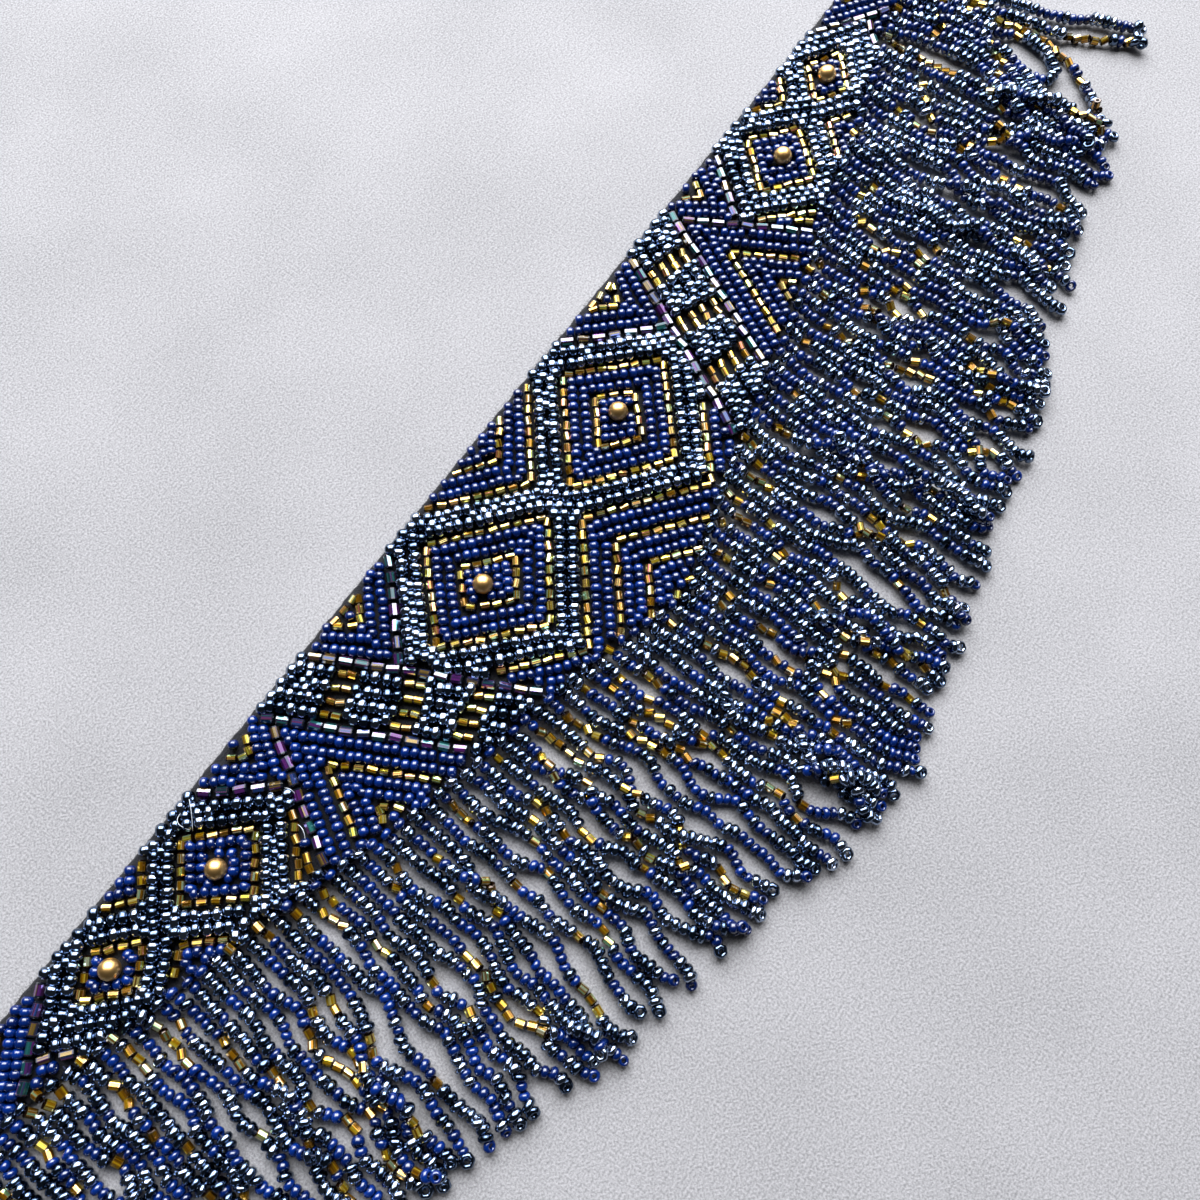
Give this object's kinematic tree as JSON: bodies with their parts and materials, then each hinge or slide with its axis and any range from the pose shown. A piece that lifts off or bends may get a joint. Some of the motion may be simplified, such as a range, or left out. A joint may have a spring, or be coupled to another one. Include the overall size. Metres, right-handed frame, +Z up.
{
  "type": "choker",
  "caption": "Choker laid out flat: a felt band beaded in diamonds and chevrons with round gold beads, a fringe of bead strands along its lower edge, and a hook and an eye.",
  "frame": {"origin": "on the felt's underside, on the pattern's middle line, half way down the band where it is deepest", "axes": "+X along the band to the end with the eye, +Y across it to the straight top edge, +Z up out of the beaded face"},
  "size_m": [0.347, 0.1112, 0.0057],
  "materials": {
    "felt": "matt black felt",
    "blue_glass": "glossy opaque cobalt glass seed beads",
    "gunmetal_glass": "metallic gunmetal blue glass seed beads",
    "gold_glass": "amber square cut glass tubes with a gold lining and a rainbow coat",
    "iris_glass": "dark metallic glass tubes with a purple, blue and green rainbow coat",
    "gold_metal": "satin gold plate",
    "clasp_metal": "antique gold plate",
    "thread": "dark navy beading thread"
  },
  "bodies": {
    "root": {"felt_band": "felt", "bead_field": "blue_glass", "tube_lines": "gold_glass", "gold_ball_1": "gold_metal", "gold_ball_2": "gold_metal", "gold_ball_3": "gold_metal", "gold_ball_4": "gold_metal", "gold_ball_5": "gold_metal", "gold_ball_6": "gold_metal", "fringe": "gunmetal_glass", "clasp_hook": "clasp_metal", "clasp_eye": "clasp_metal"}
  },
  "joints": []
}
